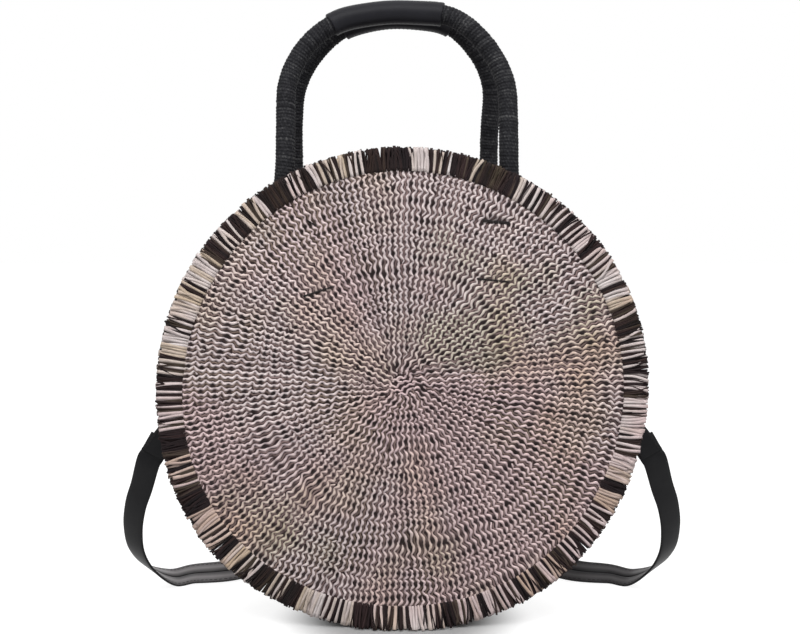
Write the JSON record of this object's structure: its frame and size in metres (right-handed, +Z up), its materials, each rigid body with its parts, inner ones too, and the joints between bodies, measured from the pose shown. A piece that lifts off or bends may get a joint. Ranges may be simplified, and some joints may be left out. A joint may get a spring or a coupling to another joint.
{
  "type": "round woven bag",
  "caption": "Round woven bag with a cut fringe round each disc, wrapped rope handles with leather grips, a zip over the top and a leather shoulder strap on side rings.",
  "frame": {"origin": "middle of the flat on which the front fringe rests", "axes": "+Z up, -Y out of the front disc, +X to the right of someone who looks at the front"},
  "size_m": [0.5196, 0.4047, 0.5406],
  "materials": {
    "woven_disc": "pale pinkish and dark brown yarn in a zigzag weave",
    "fringe_yarn": "cut tufts of dark brown, black and cream yarn",
    "gusset_weave": "the discs' yarn in a plain weave",
    "wrapping_cord": "black waxed cord",
    "rope_core": "undyed cotton rope",
    "grip_leather": "smooth black leather, semi-gloss",
    "strap_leather": "smooth black leather with a soft sheen",
    "black_leather": "smooth black leather",
    "dark_metal": "dark gunmetal plating",
    "zip_metal": "aged brass",
    "zip_tape": "black twill tape",
    "lining_cloth": "plain beige cotton"
  },
  "bodies": {
    "root": {"front_panel": "woven_disc", "back_panel": "woven_disc", "front_fringe": "fringe_yarn", "back_fringe": "fringe_yarn", "gusset_band": "gusset_weave", "gusset_top_front": "gusset_weave", "gusset_top_back": "gusset_weave", "zip_tape_front": "zip_tape", "zip_tape_back": "zip_tape", "zip_teeth_front": "zip_metal", "zip_teeth_back": "zip_metal", "zip_bottom_stop": "zip_metal", "zip_top_stops": "zip_metal", "zip_end_tab_left": "black_leather", "zip_end_tab_right": "black_leather", "lining_front": "lining_cloth", "lining_back": "lining_cloth", "lining_band": "lining_cloth", "inner_pocket": "lining_cloth", "front_leg_left": "wrapping_cord", "front_leg_right": "wrapping_cord", "back_leg_left": "wrapping_cord", "back_leg_right": "wrapping_cord", "front_end_left": "wrapping_cord", "front_end_right": "wrapping_cord", "back_end_left": "wrapping_cord", "back_end_right": "wrapping_cord", "ring_tab_left": "black_leather", "ring_tab_right": "black_leather", "side_ring_left": "dark_metal", "side_ring_right": "dark_metal"},
    "front_handle": {"front_rope_core": "rope_core", "front_rope_wrap": "wrapping_cord", "front_grip": "grip_leather"},
    "back_handle": {"back_rope_core": "rope_core", "back_rope_wrap": "wrapping_cord", "back_grip": "grip_leather"},
    "zip_slider": {"zip_slider": "zip_metal"},
    "zip_pull": {"zip_pull": "zip_metal"},
    "strap": {"strap": "strap_leather", "strap_end_left": "strap_leather", "strap_end_right": "strap_leather"}
  },
  "joints": [
    {"name": "front_handle_fold", "type": "hinge", "parent": "root", "child": "front_handle", "pos_m": [0, 0.0118, 0.41031], "axis": [1, 0, 0], "range_deg": [0, 104]},
    {"name": "back_handle_fold", "type": "hinge", "parent": "root", "child": "back_handle", "pos_m": [0, 0.0912, 0.41031], "axis": [-1, 0, 0], "range_deg": [0, 104]},
    {"name": "zip_travel", "type": "hinge", "parent": "root", "child": "zip_slider", "pos_m": [0, 0.0515, 0.205], "axis": [0, -1, 0], "range_deg": [0, 112]},
    {"name": "zip_pull_flip", "type": "hinge", "parent": "zip_slider", "child": "zip_pull", "pos_m": [0.15579, 0.0515, 0.30933], "axis": [0, -1, 0], "range_deg": [0, 150]},
    {"name": "strap_swing", "type": "hinge", "parent": "root", "child": "strap", "pos_m": [0, 0.0515, 0.18], "axis": [1, 0, 0], "range_deg": [0, 116]}
  ]
}
